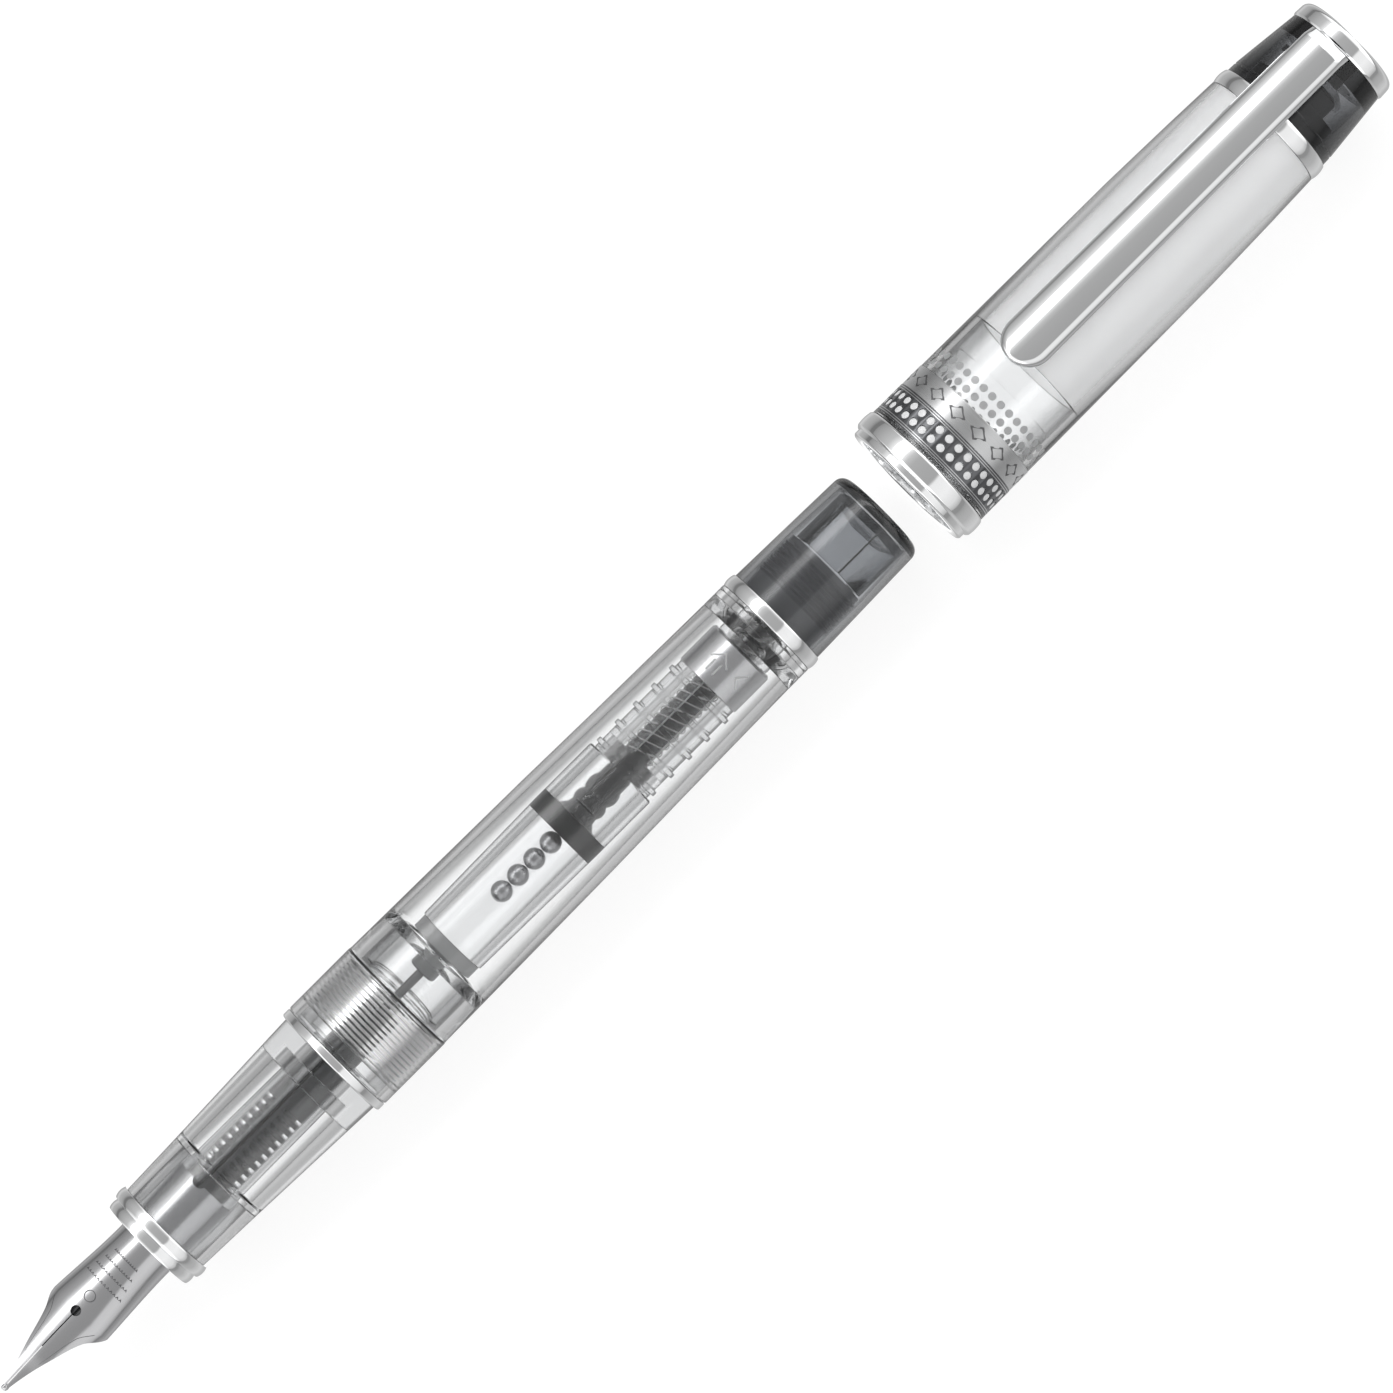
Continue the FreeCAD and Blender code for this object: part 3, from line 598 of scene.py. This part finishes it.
def make_spindle():
    """Spindle with one spiral groove for each start of the screw."""
    corners, closed = outline_of("spindle")
    radius = max(c.y for c in corners)
    start, end = sorted((corners[0].x, corners[-1].x))
    chamfer, plain, step = 0.3 * MM, 3.6 * MM, 0.08 * MM
    depth, width = 0.16 * MM, 0.35
    outline = [Vector((start, 0)), Vector((start, radius))]
    outline += fine_run(start + chamfer / 2, end - chamfer, radius, step)
    outline += [Vector((end, radius - chamfer)), Vector((end, 0))]

    def spiral(x, r, angle):
        if r < radius - TINY or not start + plain < x < end - chamfer:
            return r
        return r - depth * groove(SCREW_STARTS * (x / SPIRAL_LEAD + angle / (2 * math.pi)), width)

    return stands_for(lathe("spindle_spiral", outline, closed, spiral), ["spindle"])


def spiral_ribs(bm, start, end, radius, width):
    """Thin helical ribs, one per start of the screw, between two stations."""
    step, height = 0.06 * MM, 0.04 * MM
    steps = round((end - start) / step)
    for strand in range(SCREW_STARTS):
        path = []
        for i in range(steps + 1):
            x = start + (end - start) * i / steps
            path.append((x, -2 * math.pi * radius * (x / SPIRAL_LEAD + strand / SCREW_STARTS)))
        wrapped_ribbon(bm, path, width, cylinder(radius), height)


def make_guide_spiral_highlights():
    """Ribs inside the guide tube, the spiral nut and straight keys, coloured pale as painted highlights:
    the bright lines where light catches their edges.
    """
    spiral = radius_of("spindle") + 0.12 * MM
    keys = spiral + 0.11 * MM
    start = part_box("guide_bush")[1].x + 0.3 * MM
    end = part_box("guide_tube")[1].x - 0.4 * MM
    rib_width, key_width, key_height, steps = 0.12 * MM, 0.11 * MM, 0.05 * MM, 40
    sides = (1, -52, 128, -179)
    bm = bmesh.new()
    spiral_ribs(bm, start, end, spiral, rib_width)
    for side in sides:
        arc = keys * math.radians(side)
        path = [(start + (end - start) * i / steps, arc) for i in range(steps + 1)]
        wrapped_ribbon(bm, path, key_width, cylinder(keys), key_height)
    return added(finish_mesh(bm, "guide_spiral_highlights"), "converter", "painted_highlight_rib")


def make_knob_spiral_highlights():
    """Spiral ribs inside the knob's bore, where it drives the spindle's end, coloured pale as painted
    highlights on their edges.
    """
    radius = radius_of("spindle") + 0.055 * MM
    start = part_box("metal_sleeve")[1].x + 0.2 * MM
    end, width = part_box("spindle")[1].x - 0.3 * MM, 0.13 * MM
    bm = bmesh.new()
    spiral_ribs(bm, start, end, radius, width)
    return added(finish_mesh(bm, "knob_spiral_highlights"), "knob", "painted_highlight_rib")


def make_sleeve_marks():
    """Raised arrow and chevron on the metal sleeve, which show the way the knob turns; their pale colour
    is a painted highlight on the raised strokes.
    """
    radius, middle = radius_of("metal_sleeve"), middle_of("metal_sleeve")
    head, arm, stem, gap = 0.95 * MM, 0.93 * MM, 1.2 * MM, 0.38 * MM
    ahead, chevron, beside = 0.1 * MM, 0.78 * MM, math.radians(33)
    width, height = 0.15 * MM, 0.05 * MM
    bm = bmesh.new()
    for side in (0, math.pi):
        tip, arc = middle + head, side * radius
        strokes = [[(tip - arm, arc - arm), (tip, arc), (tip - arm, arc + arm)]]
        for edge in (-gap, gap):
            strokes.append([(tip - arm, arc + edge), (tip - arm - stem, arc + edge)])
        x, arc = middle + ahead, (side - beside) * radius
        strokes.append([(x - chevron, arc - chevron), (x, arc), (x + chevron, arc - chevron)])
        for stroke in strokes:
            wrapped_ribbon(bm, stroke, width, cylinder(radius), height)
    return added(finish_mesh(bm, "sleeve_marks"), "converter", "painted_highlight_rib")


# ---------------------------------------------------------------- nib

# Sheet of the nib by station: x, half width, rise, height of centre, reach round from the top.
NIB_STATIONS = (
    (-82.30, 1.60, 0.92, -0.42, 11.0),
    (-79.80, 2.20, 1.35, -0.42, 21.3),
    (-77.85, 2.60, 1.77, -0.43, 31.3),
    (-74.83, 3.10, 2.16, -0.45, 48.0),
    (-73.10, 3.32, 2.32, -0.45, 86.0),
    (-65.30, 2.94, 2.77, -0.33, 89.0),
    (-57.70, 3.02, 3.02, 0.00, 87.0),
)
NIB_HOLE = -73.10
NIB_SHEET = 0.28
# Length round the nib from its middle to its edge, about the same along its body.
NIB_ARC = 3.0 * MM


def eased(stations, x):
    """Values at x, on curves through the stations that never overshoot them.

    The curves are smooth, except at the shoulder, where the outline has its corner.
    """
    last = len(stations) - 2
    k = max(i for i in range(last + 1) if i == 0 or stations[i][0] <= x)
    a, b = stations[k], stations[k + 1]
    span = b[0] - a[0]
    t = min(1.0, max(0.0, (x - a[0]) / span))
    values = []
    for column in range(1, len(a)):
        slope = (b[column] - a[column]) / span
        ends = []
        for place, other in ((k, k - 1), (k + 1, k + 2)):
            if 0 <= other < len(stations) and stations[place][0] != NIB_HOLE:
                p, q = stations[place], stations[other]
                beside = (p[column] - q[column]) / (p[0] - q[0])
                ends.append(2 * slope * beside / (slope + beside) if slope * beside > 0 else 0.0)
            else:
                ends.append(slope)
        h1, h2 = t * t * (3 - 2 * t), t * (1 - t) ** 2
        h3 = t * t * (t - 1)
        values.append(a[column] * (1 - h1) + b[column] * h1 + span * (ends[0] * h2 + ends[1] * h3))
    return values


def nib_point(x, share, lift):
    """Point on the nib's top side; share runs from -1 to 1 across it, in its own width."""
    half, rise, base, reach = eased(NIB_STATIONS, x)
    angle = math.radians(reach) * share
    y = (half + lift) * math.sin(angle)
    z = base + (rise + lift) * math.cos(angle)
    return Vector((x, y, 0)) * MM + Vector((0, 0, AXIS_Z + z * MM))


def make_nib():
    """Nib: a bent sheet with a slit, a breather hole and a notch at its tail."""
    bm = bmesh.new()
    start, end = NIB_STATIONS[0][0], NIB_STATIONS[-1][0]
    across, along = 48, 120
    tip_share, thinned = 0.45, 6
    grids = []
    for lift in (0.0, -NIB_SHEET):
        grid = []
        for i in range(along + 1):
            x = start + (end - start) * i / along
            thin = lift * (tip_share + (1 - tip_share) * min(1.0, (x - start) / thinned))
            row = [nib_point(x, 2 * j / across - 1, thin) for j in range(across + 1)]
            grid.append([bm.verts.new(point) for point in row])
        grids.append(grid)
    outer, inner = grids
    for grid in grids:
        for i in range(along):
            for j in range(across):
                bm.faces.new([grid[i][j], grid[i][j + 1], grid[i + 1][j + 1], grid[i + 1][j]])
    for i in range(along):
        for j in (0, across):
            bm.faces.new([outer[i][j], inner[i][j], inner[i + 1][j], outer[i + 1][j]])
    for j in range(across):
        for i in (0, along):
            bm.faces.new([outer[i][j], inner[i][j], inner[i][j + 1], outer[i][j + 1]])
    nib = finish_mesh(bm, "nib_sheet", sharp=40)
    slit, top, bottom = 0.05 * MM, AXIS_Z + 5 * MM, AXIS_Z - 2 * MM
    cut(nib, box_cutter((start * MM - 2 * MM, -slit, bottom), (NIB_HOLE * MM, slit, top)))
    hole, notch, notch_place = 0.48 * MM, 0.62 * MM, end + 0.15
    for place, radius in ((NIB_HOLE, hole), (notch_place, notch)):
        bm = bmesh.new()
        spot = Matrix.Translation((place * MM, 0, AXIS_Z + 3 * MM))
        bmesh.ops.create_cone(bm, cap_ends=True, segments=64, radius1=radius, radius2=radius,
                              depth=5 * MM, matrix=spot)
        cut(nib, finish_mesh(bm, "cutter"))
    return stands_for(nib, ["nib"])


def make_nib_engraving():
    """Plain engraved ornament: a ring, four rows of small waves, and a line to each side.

    Its paths list stations in millimetres and shares of the nib's half width.
    """
    line, depth = 0.07 * MM, 0.006 * MM
    bm = bmesh.new()

    def sheet(x, arc, lift):
        return nib_point(x / MM, arc / NIB_ARC, lift / MM)

    def engrave(path):
        wrapped_ribbon(bm, [(x * MM, share * NIB_ARC) for x, share in path], line, sheet, depth)

    sides, ring_place, ring_radius, ring_share = 32, NIB_HOLE + 1.75, 0.50, 0.105
    ring = []
    for i in range(sides):
        turn = 2 * math.pi * i / sides
        ring.append((ring_place + ring_radius * math.cos(turn), ring_share * math.sin(turn)))
    engrave(ring + ring[:1])
    rows, first_row, row_step = 4, NIB_HOLE + 3.2, 0.95
    waves, wave_height, wave_share = 12, 0.18, 1.25
    for row in range(rows):
        x = first_row + row_step * row
        reach = 0.50 - 0.06 * row
        for k in range(waves):
            a = reach * (2 * k / waves - 1)
            b = a + wave_share * reach / waves
            engrave([(x, a), (x + wave_height, (a + b) / 2), (x, b)])
    steps, border, border_length = 29, NIB_HOLE - 5.6, 5.2
    for side in (-1, 1):
        shares = [t / steps for t in range(steps + 1)]
        engrave([(border + border_length * t, side * (0.78 - 0.12 * t)) for t in shares])
    return added(finish_mesh(bm, "nib_engraving"), "section", "engraving")


def make_balls():
    """Steel balls, each on the place of its CAD node."""
    for number in range(1, 5):
        node = f"agitator_ball_{number}"
        low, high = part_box(node)
        bm = bmesh.new()
        radius = (high.x - low.x) / 2 - AIR_GAP
        bmesh.ops.create_uvsphere(bm, u_segments=48, v_segments=32, radius=radius)
        bmesh.ops.translate(bm, vec=(low + high) / 2, verts=bm.verts)
        stands_for(finish_mesh(bm, f"steel_ball_{number}"), [node])


# ---------------------------------------------------------------- clip, bands and cap top

def make_clip():
    """Clip: crowned top, rounded edges, a round nose, turned-down sides and an open back.

    Its surface is a stack of outlines of its plan, each moved in by its inset: up the
    inside of the walls, round the rim, and up and over the top.
    """
    low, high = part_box("clip")
    nose, root, peak = low.x, high.x, high.z
    half = (high.y - low.y) / 2
    middle = nose + half
    crown, edge, wall, taper, chamfer = 4.6 * MM, 0.55 * MM, 0.5 * MM, 0.22 * MM, 0.06 * MM
    fall = 0.9 * MM / (root - nose)
    side_steps, nose_steps, rows, round_steps = 76, 40, 14, 6
    facet, root_slope = 2 * (root - middle) / side_steps, 0.6
    lug = root - 3.5 * MM
    nose_rim, lug_rim, root_rim = 6.66 * MM, 6.09 * MM, 5.15 * MM

    def top(x, y):
        drop = crown - math.sqrt(crown ** 2 - y ** 2)
        return peak - fall * (x - nose) - drop - root_slope * max(0.0, x - (root - facet))

    def inside(x, y):
        return top(x, y) - wall

    def rim(x, y):
        shallow = nose_rim + (lug_rim - nose_rim) * (x - nose) / (lug - nose)
        steep = lug_rim + (root_rim - lug_rim) * (x - lug) / (root - lug)
        return AXIS_Z + min(shallow, steep)

    def above_rim(x, y):
        return rim(x, y) + chamfer

    def spot(i, inset):
        """Point i of the plan's outline, moved in by inset."""
        if side_steps <= i <= side_steps + nose_steps:
            turn = math.pi * (i - side_steps) / nose_steps
            return middle - (half - inset) * math.sin(turn), -(half - inset) * math.cos(turn)
        steps = i if i < side_steps else 2 * side_steps + nose_steps - i
        x = root + (middle - root) * steps / side_steps
        wide = half - taper * (x - middle) / (root - middle)
        return x, (-1 if i < side_steps else 1) * max(0.0, wide - inset)

    levels = [(wall + (half - wall) * (1 - k / rows), inside) for k in range(rows + 1)]
    levels += [(wall, above_rim), (wall - chamfer, rim), (chamfer, rim), (0.0, above_rim)]
    for k in range(round_steps + 1):
        inset = edge * (1 - math.cos(math.pi / 2 * k / round_steps))
        drop = edge - math.sqrt(edge ** 2 - (edge - inset) ** 2)
        levels.append((inset, lambda x, y, drop=drop: top(x, y) - drop))
    levels += [(edge + (half - edge) * k / rows, top) for k in range(1, rows + 1)]
    bm = bmesh.new()
    rings = []
    for inset, height in levels:
        plan = [spot(i, inset) for i in range(2 * side_steps + nose_steps + 1)]
        rings.append([bm.verts.new((x, y, max(height(x, y), rim(x, y)))) for x, y in plan])
    for a, b in zip(rings, rings[1:]):
        for i in range(len(a) - 1):
            bm.faces.new([a[i], a[i + 1], b[i + 1], b[i]])
    bmesh.ops.remove_doubles(bm, verts=bm.verts, dist=0.5 * TINY)
    open_edges = [e for e in bm.edges if len(e.link_faces) == 1]
    bmesh.ops.holes_fill(bm, edges=open_edges, sides=0)
    return stands_for(finish_mesh(bm, "clip_spring", sharp=28), ["clip"])


def make_clip_foot():
    """Tab that goes down from the clip's root into the cap's top."""
    low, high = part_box("clip")
    thick, tall, side, inset = 0.62 * MM, 2.4 * MM, 0.55 * MM, 0.02 * MM
    back, bottom = high.x - inset, low.z + inset
    bm = bmesh.new()
    add_box(bm, (back - thick, low.y + side, bottom), (back, high.y - side, bottom + tall))
    bmesh.ops.bevel(bm, geom=bm.edges[:], offset=0.12 * MM, offset_type="OFFSET", segments=3,
                    profile=0.5, affect="EDGES")
    return added(finish_mesh(bm, "clip_foot"), "clip", "chrome_trim")


def dot_rows(name, middle, radius, size, lifts):
    """Two rows of round dots, side by side all round a cylinder.

    size is a dot's radius. lifts are the heights in millimetres of its centre, shoulder,
    edge and root over the cylinder.
    """
    shares, sides = (0.0, 0.7, 1.0, 1.0), 20
    bm = bmesh.new()
    for row in (-1, 1):
        for i in range(DOTS_PER_ROW):
            place = 2 * math.pi * i / DOTS_PER_ROW
            rings = []
            for share, lift in zip(shares, lifts):
                ring = []
                for k in range(sides if share else 1):
                    turn = 2 * math.pi * k / sides
                    x = middle + row * DOT_ROW + share * size * math.cos(turn)
                    angle = place + share * size * math.sin(turn) / radius
                    ring.append(bm.verts.new(on_axis(x, radius + lift * MM, angle)))
                rings.append(ring)
            for a, b in zip(rings, rings[1:]):
                for k in range(sides):
                    m = (k + 1) % sides
                    face = [a[k % len(a)], a[m % len(a)], b[m], b[k]]
                    bm.faces.new(list(dict.fromkeys(face)))
            bm.faces.new(rings[-1])
    return finish_mesh(bm, name)


def make_band_dots():
    """Pale dots that fill the dark band's two rows of windows."""
    size, lifts = 0.385 * MM, (-0.01, -0.02, -0.05, -0.14)
    dots = dot_rows("band_dots", middle_of("pattern_band"), radius_of("pattern_band"), size, lifts)
    return added(dots, "cap", "dot_lacquer")


def make_sleeve_painted_dots():
    """Faint dots on the inner sleeve, just behind the pale band: a painted image of the dark band's dots
    as seen through the clear cap.
    """
    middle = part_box("plain_band")[1].x + 1.45 * MM
    size, lifts = 0.36 * MM, (0.012, 0.012, 0.008, -0.03)
    dots = dot_rows("sleeve_painted_dots", middle, radius_of("cap_inner_sleeve"), size, lifts)
    return added(dots, "cap", "painted_dot_image")


def make_band_lines():
    """Fine raised lines along both edges of the dark band."""
    low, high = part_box("pattern_band")
    radius = radius_of("pattern_band")
    outer, inner = 0.16 * MM, 0.36 * MM
    half, rise, root = 0.045 * MM, 0.012 * MM, radius - 0.05 * MM
    places = (low.x + outer, low.x + inner, high.x - inner, high.x - outer)
    for number, place in enumerate(places, 1):
        section = [Vector((place - half, root)), Vector((place - half, radius)),
                   Vector((place, radius + rise)), Vector((place + half, radius)),
                   Vector((place + half, root))]
        added(lathe(f"band_line_{number}", section, True), "cap", "band_pale")


def make_band_ornament():
    """Plain engraved lozenges all round the pale band."""
    radius, middle = radius_of("plain_band"), middle_of("plain_band")
    count, wide, tall = 16, 0.85 * MM, 0.62 * MM
    line, depth = 0.17 * MM, 0.006 * MM
    bm = bmesh.new()
    for i in range(count):
        arc = 2 * math.pi * radius * i / count
        corners = [(middle - tall, arc), (middle, arc + wide), (middle + tall, arc), (middle, arc - wide)]
        wrapped_ribbon(bm, corners + corners[:1], line, cylinder(radius), depth)
    return added(finish_mesh(bm, "band_ornament"), "cap", "engraving")


def make_cap_top():
    """Smoky end of the cap, with the slot that takes the clip's foot."""
    low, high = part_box("cap_top")
    step, edge, narrow, wide = 79.0 * MM, 5.16 * MM, 3.20 * MM, 4.60 * MM
    outside = 5.0 * MM
    outline = [c for c in outline_of("cap_top")[0] if c.y > outside and c.x < step]
    outline.sort(key=lambda c: (c.x, c.y))
    outline += [Vector((high.x, edge)), Vector((high.x, narrow)), Vector((step, narrow)),
                Vector((step, wide)), Vector((low.x, wide))]
    shell = lathe("cap_top_turned", rounded(outline, True), True)
    slot, depth, bottom, past = 2.10 * MM, 0.85 * MM, 2.6 * MM, 7 * MM
    cut(shell, box_cutter((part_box("clip")[1].x - depth, -slot, AXIS_Z + bottom),
                          (high.x + 1 * MM, slot, AXIS_Z + past)))
    return stands_for(shell, ["cap_top"])


# ---------------------------------------------------------------- stage, light and camera

def ramp_of(add, levels, source):
    """Grey ramp over source, from (place, level) pairs; returns its colour and the peak level."""
    low, high = levels[0][0], levels[-1][0]
    share = add("MapRange", {"From Min": low, "From Max": high, "Value": source})
    ramp = add("ValToRGB", {"Fac": share.outputs["Result"]})
    elements = ramp.color_ramp.elements
    while len(elements) < len(levels):
        elements.new(0.5)
    peak = max(level for _, level in levels)
    for element, (place, level) in zip(elements, levels):
        element.position = (place - low) / (high - low)
        element.color = (level / peak, level / peak, level / peak, 1)
    return ramp.outputs["Color"], peak


# Brightness of the table as the pen sees it, by distance in metres to either side of its
# axis: painted light, a bright glowing strip under the pen as if lit from below, and painted
# shade, a dark strip on each side that draws its outline.
TABLE_PAINTED_LIGHT = (
    (-0.08, 0.30), (-0.020, 0.48), (-0.0105, 0.66), (-0.0072, 0.50), (-0.0050, 0.50), (-0.0034, 1.14),
    (0.0064, 1.14), (0.0080, 0.44), (0.0105, 0.44), (0.0135, 0.66), (0.020, 0.48), (0.08, 0.20),
)


def make_floor():
    """Pale floor. What looks straight at it sees plain paper; the pen sees the table's painted light and
    shade.
    """
    bm = bmesh.new()
    half = 2
    bmesh.ops.create_grid(bm, x_segments=1, y_segments=1, size=half)
    floor = finish_mesh(bm, "floor")
    made, tree, bsdf, add = shader("floor_paper")
    surface_detail(tree, bsdf, add, (0.2, 0.2, 0.2), 0.01, (0.8, 0.9), 0.02, (1, 1, 1), 300)
    bsdf.inputs["Emission Color"].default_value = (1, 1, 1, 1)
    bsdf.inputs["Emission Strength"].default_value = 0.84
    # Rays other than camera rays see a painted glow: bright under the pen and darker in a strip on each
    # side.
    split = add("SeparateXYZ", {"Vector": add("TexCoord").outputs["Object"]})
    level, peak = ramp_of(add, TABLE_PAINTED_LIGHT, split.outputs["Y"])
    painted_glow = add("Emission", {"Color": level, "Strength": peak})
    direct = add("LightPath")
    chosen = add("MixShader", {0: direct.outputs["Is Camera Ray"], 1: painted_glow.outputs["Emission"],
                               2: bsdf.outputs["BSDF"]})
    tree.links.new(chosen.outputs["Shader"], tree.nodes["Material Output"].inputs["Surface"])
    floor.data.materials.append(made)


# Brightness of the studio round the pen's length, by the angle from straight up, positive
# towards +Y: a softbox behind the pen, grey walls, and a paler wall in front.
STUDIO = (
    (-180, 0.3), (-95, 0.35), (-80, 0.80), (-60, 0.98), (-37, 0.94), (-33, 0.42), (-14, 0.44),
    (4, 0.47), (14, 0.62), (21, 0.95), (26, 3.0), (37, 3.0), (43, 0.95), (54, 0.58), (84, 0.36),
    (100, 0.22), (180, 0.3),
)

# Extra brightness of the studio's two ends, past the pen's tip and past its cap.
END_LIGHT = 0.8


def make_world():
    """Studio that the pen sees. What looks straight past the floor sees plain paper."""
    world = bpy.data.worlds.new("studio")
    bpy.context.scene.world = world
    world.use_nodes = True
    tree = world.node_tree
    add = node_adder(tree)
    direction = add("SeparateXYZ", {"Vector": add("TexCoord").outputs["Generated"]})
    angle = add("Math", {0: direction.outputs["Y"], 1: direction.outputs["Z"]}, operation="ARCTAN2")
    degrees = add("Math", {0: angle.outputs["Value"]}, operation="DEGREES")
    level, peak = ramp_of(add, STUDIO, degrees.outputs["Value"])
    lit = add("Background", {"Color": level, "Strength": peak})
    lengthwise = add("Math", {0: direction.outputs["X"]}, operation="ABSOLUTE")
    near_end = add("MapRange", {"Value": lengthwise.outputs["Value"], "From Min": 0.45,
                                "From Max": 0.75, "To Max": END_LIGHT})
    ends = add("Background", {"Strength": near_end.outputs["Result"], "Color": (1, 1, 1, 1)})
    studio = add("AddShader", {0: lit.outputs["Background"], 1: ends.outputs["Background"]})
    backdrop = add("Background", {"Color": (0.94, 0.94, 0.94, 1)})
    direct = add("LightPath")
    chosen = add("MixShader", {0: direct.outputs["Is Camera Ray"], 1: studio.outputs["Shader"],
                               2: backdrop.outputs["Background"]})
    tree.links.new(chosen.outputs["Shader"], tree.nodes["World Output"].inputs["Surface"])


def make_camera():
    """Camera above the pen, a little to its -Y side and towards the nib, pen on the diagonal."""
    distance, tilt, lead, centre = 0.670, math.radians(12.5), -0.0169, 0.00216
    target = Vector((centre, 0, AXIS_Z))
    place = Vector((lead, -distance * math.sin(tilt), AXIS_Z + distance * math.cos(tilt)))
    back = (place - target).normalized()
    along = Vector((1, 0, 0))
    along = (along - back * along.dot(back)).normalized()
    across = back.cross(along)
    right = (along - across).normalized()
    up = (along + across).normalized()
    data = bpy.data.cameras.new("camera")
    data.lens = 200
    data.sensor_width = 36
    camera = bpy.data.objects.new("camera", data)
    bpy.context.scene.collection.objects.link(camera)
    turn = Matrix((right, up, back)).transposed().to_4x4()
    camera.matrix_world = Matrix.Translation(place) @ turn
    bpy.context.scene.camera = camera


def set_up_render():
    """Light paths long enough for the clear walls that lie one behind another."""
    scene = bpy.context.scene
    scene.view_settings.view_transform = "Standard"
    scene.cycles.max_bounces = 48
    scene.cycles.transmission_bounces = 40
    scene.cycles.glossy_bounces = 12
    scene.cycles.diffuse_bounces = 4
    scene.cycles.volume_bounces = 0
    scene.cycles.sample_clamp_indirect = 8
    scene.cycles.use_denoising = True


make_camera()
make_world()
make_floor()
set_up_render()
make_turned_pieces()
make_seal()
make_section()
make_barrel()
make_joint_ring()
make_comb_gap_shade()
make_spindle()
make_guide_spiral_highlights()
make_knob_spiral_highlights()
make_sleeve_marks()
make_balls()
make_nib()
make_nib_engraving()
make_clip()
make_clip_foot()
make_band_dots()
make_sleeve_painted_dots()
make_band_lines()
make_band_ornament()
make_cap_top()
for node in SOFTENED_NODES:
    stands_for(softened(node + "_soft", node), [node])
